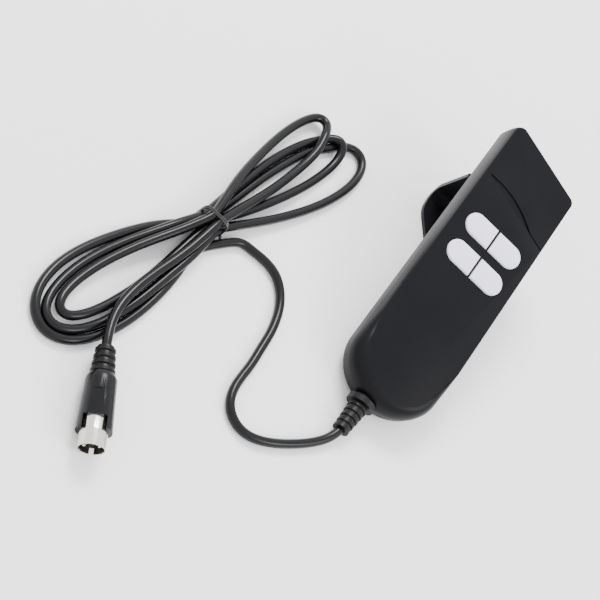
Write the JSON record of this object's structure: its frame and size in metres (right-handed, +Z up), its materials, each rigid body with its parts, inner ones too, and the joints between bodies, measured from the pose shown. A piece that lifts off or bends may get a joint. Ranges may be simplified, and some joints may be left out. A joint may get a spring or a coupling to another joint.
{
  "type": "wired hand control",
  "caption": "Hand-held wired control with sprung push buttons, a broad rear hook, a cable boot and a tied cable that ends in a round multi-pin plug.",
  "frame": {"origin": "middle of the footprint of the case, hook and boot (without the cable), on the surface that they rest on", "axes": "+Z up, +Y along the case towards its slanted top, +X to the right as the buttons are read with the cable end nearest"},
  "size_m": [0.1998, 0.2954, 0.0641],
  "materials": {
    "black_case": "fine satin moulded texture",
    "button_pale": "smooth satin, very pale lavender",
    "board_green": "solder mask",
    "ivory_plastic": "plain moulded",
    "grey_plastic": "plain moulded",
    "wire_red": "smooth insulation",
    "cable_jacket": "smooth satin jacket",
    "boot_rubber": "satin moulded rubber",
    "tie_black": "satin plastic coating",
    "plug_black": "satin moulded grip",
    "shell_nickel": "nickel plated",
    "insert_black": "plain moulded",
    "pin_metal": "tin over brass",
    "screw_steel": "zinc plated"
  },
  "bodies": {
    "case": {"front_cover": "black_case", "back_cover": "black_case", "hook": "black_case", "switch_back_raise": "grey_plastic", "switch_back_lower": "grey_plastic", "switch_foot_raise": "grey_plastic", "switch_foot_lower": "grey_plastic", "circuit_board": "board_green", "wire_header": "ivory_plastic", "wire_housing": "ivory_plastic", "core_wires": "wire_red", "cable_inner": "cable_jacket", "cable_clamp": "grey_plastic", "clamp_screws": "screw_steel", "board_screws": "screw_steel", "housing_screws": "screw_steel", "hook_screws": "screw_steel", "cable_boot": "boot_rubber", "cable_lead": "cable_jacket", "cable_hank": "cable_jacket", "cable_tail": "cable_jacket", "cable_tie": "tie_black", "plug_boot": "boot_rubber", "plug_overmould": "plug_black", "plug_shell": "shell_nickel", "plug_insert": "insert_black", "plug_pins": "pin_metal"},
    "press_back_raise": {"button_back_raise": "button_pale", "plunger_back_raise": "ivory_plastic"},
    "press_back_lower": {"button_back_lower": "button_pale", "plunger_back_lower": "ivory_plastic"},
    "press_foot_raise": {"button_foot_raise": "button_pale", "plunger_foot_raise": "ivory_plastic"},
    "press_foot_lower": {"button_foot_lower": "button_pale", "plunger_foot_lower": "ivory_plastic"}
  },
  "joints": [
    {"name": "back_raise_press", "type": "slide", "parent": "case", "child": "press_back_raise", "axis": [0, 0.2756, -0.9613], "range_m": [0, 0.0009], "stiffness_N_per_m": 500},
    {"name": "back_lower_press", "type": "slide", "parent": "case", "child": "press_back_lower", "axis": [0, 0.2756, -0.9613], "range_m": [0, 0.0009], "stiffness_N_per_m": 500},
    {"name": "foot_raise_press", "type": "slide", "parent": "case", "child": "press_foot_raise", "axis": [0, 0.2756, -0.9613], "range_m": [0, 0.0009], "stiffness_N_per_m": 500},
    {"name": "foot_lower_press", "type": "slide", "parent": "case", "child": "press_foot_lower", "axis": [0, 0.2756, -0.9613], "range_m": [0, 0.0009], "stiffness_N_per_m": 500}
  ]
}
